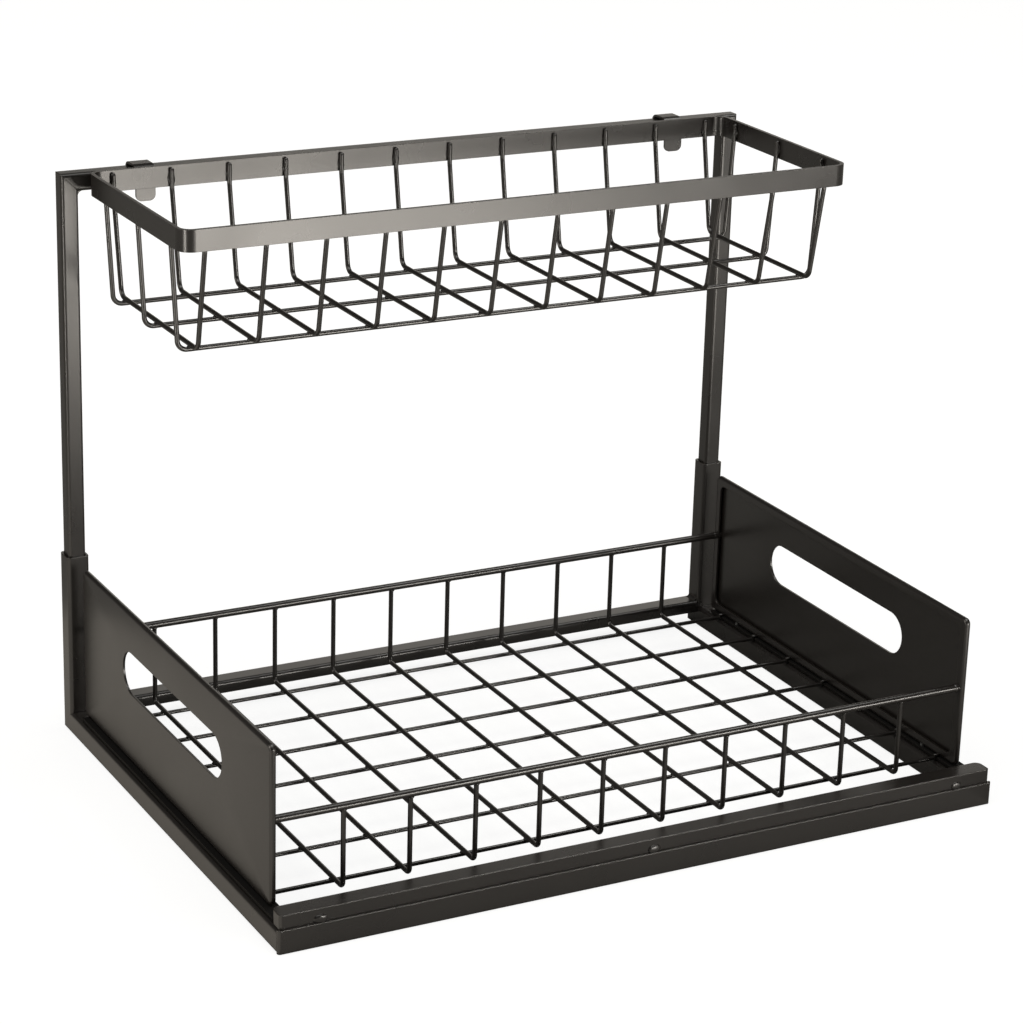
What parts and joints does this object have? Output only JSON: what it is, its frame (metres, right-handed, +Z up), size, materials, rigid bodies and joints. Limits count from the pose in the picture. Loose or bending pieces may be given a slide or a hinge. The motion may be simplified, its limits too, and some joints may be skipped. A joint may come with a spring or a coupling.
{
  "type": "pull-out cabinet basket",
  "caption": "Black coated steel cabinet organiser: a wire basket on a roller carriage pulls out from under a small wire basket hung on a plug-in frame.",
  "frame": {"origin": "bottom centre of the closed unit, on the surface that it stands on", "axes": "+X to the right seen from the front, +Y to the back, +Z up; the carriage pulls out along -Y"},
  "size_m": [0.4, 0.288, 0.3072],
  "materials": {
    "coated_tube": "near-black satin powder coat with a faint warm tint",
    "coated_wire": "near-black satin powder coat on drawn wire",
    "bare_steel": "turned and zinc-plated",
    "white_nylon": "moulded natural nylon",
    "black_nylon": "moulded black nylon",
    "black_rubber": "moulded rubber"
  },
  "bodies": {
    "base": {"rail_left": "coated_tube", "rail_right": "coated_tube", "sleeve_left": "coated_tube", "sleeve_right": "coated_tube", "rear_bar": "coated_tube", "rear_bar_welds": "coated_tube", "front_tie": "coated_tube", "glide_left": "black_nylon", "glide_right": "black_nylon", "buffer_left": "black_rubber", "buffer_right": "black_rubber"},
    "carriage": {"front_plate": "coated_tube", "front_bar": "coated_tube", "tack_welds": "coated_tube", "runner_left": "coated_tube", "runner_right": "coated_tube", "roller_axles": "bare_steel", "locating_pegs": "bare_steel"},
    "roller_set_front_left": {"rollers_front_left": "white_nylon"},
    "roller_set_rear_left": {"rollers_rear_left": "white_nylon"},
    "roller_set_front_right": {"rollers_front_right": "white_nylon"},
    "roller_set_rear_right": {"rollers_rear_right": "white_nylon"},
    "lower_basket": {"side_panel_left": "coated_tube", "side_panel_right": "coated_tube", "floor_wires": "coated_wire", "floor_cross_wires": "coated_wire", "front_rod": "coated_wire", "rear_rod": "coated_wire"},
    "upper_frame": {"post_left": "coated_tube", "post_right": "coated_tube", "top_rail": "coated_tube", "corner_welds": "coated_tube", "post_plugs": "black_nylon"},
    "top_basket": {"basket_rim": "coated_tube", "basket_short_wires": "coated_wire", "basket_long_wires": "coated_wire", "hook_clip_left": "coated_tube", "hook_clip_right": "coated_tube"}
  },
  "joints": [
    {"name": "carriage_slide", "type": "slide", "parent": "base", "child": "carriage", "axis": [0, -1, 0], "range_m": [0, 0.18]},
    {"name": "roller_spin_front_left", "type": "hinge", "parent": "carriage", "child": "roller_set_front_left", "pos_m": [-0.194, 0.056, 0.006], "axis": [1, 0, 0], "range_deg": [0, 2250]},
    {"name": "roller_spin_rear_left", "type": "hinge", "parent": "carriage", "child": "roller_set_rear_left", "pos_m": [-0.194, 0.114, 0.006], "axis": [1, 0, 0], "range_deg": [0, 2250]},
    {"name": "roller_spin_front_right", "type": "hinge", "parent": "carriage", "child": "roller_set_front_right", "pos_m": [0.194, 0.056, 0.006], "axis": [1, 0, 0], "range_deg": [0, 2250]},
    {"name": "roller_spin_rear_right", "type": "hinge", "parent": "carriage", "child": "roller_set_rear_right", "pos_m": [0.194, 0.114, 0.006], "axis": [1, 0, 0], "range_deg": [0, 2250]},
    {"name": "basket_lift", "type": "slide", "parent": "carriage", "child": "lower_basket", "axis": [0, 0, 1], "range_m": [0, 0.1]},
    {"name": "frame_lift", "type": "slide", "parent": "base", "child": "upper_frame", "axis": [0, 0, 1], "range_m": [0, 0.09]},
    {"name": "top_basket_lift", "type": "slide", "parent": "upper_frame", "child": "top_basket", "axis": [0, 0, 1], "range_m": [0, 0.06]}
  ],
  "couplings": [
    {"joint": "roller_spin_front_left", "follows": "carriage_slide", "rad_per_m": 217.39},
    {"joint": "roller_spin_rear_left", "follows": "carriage_slide", "rad_per_m": 217.39},
    {"joint": "roller_spin_front_right", "follows": "carriage_slide", "rad_per_m": 217.39},
    {"joint": "roller_spin_rear_right", "follows": "carriage_slide", "rad_per_m": 217.39}
  ]
}
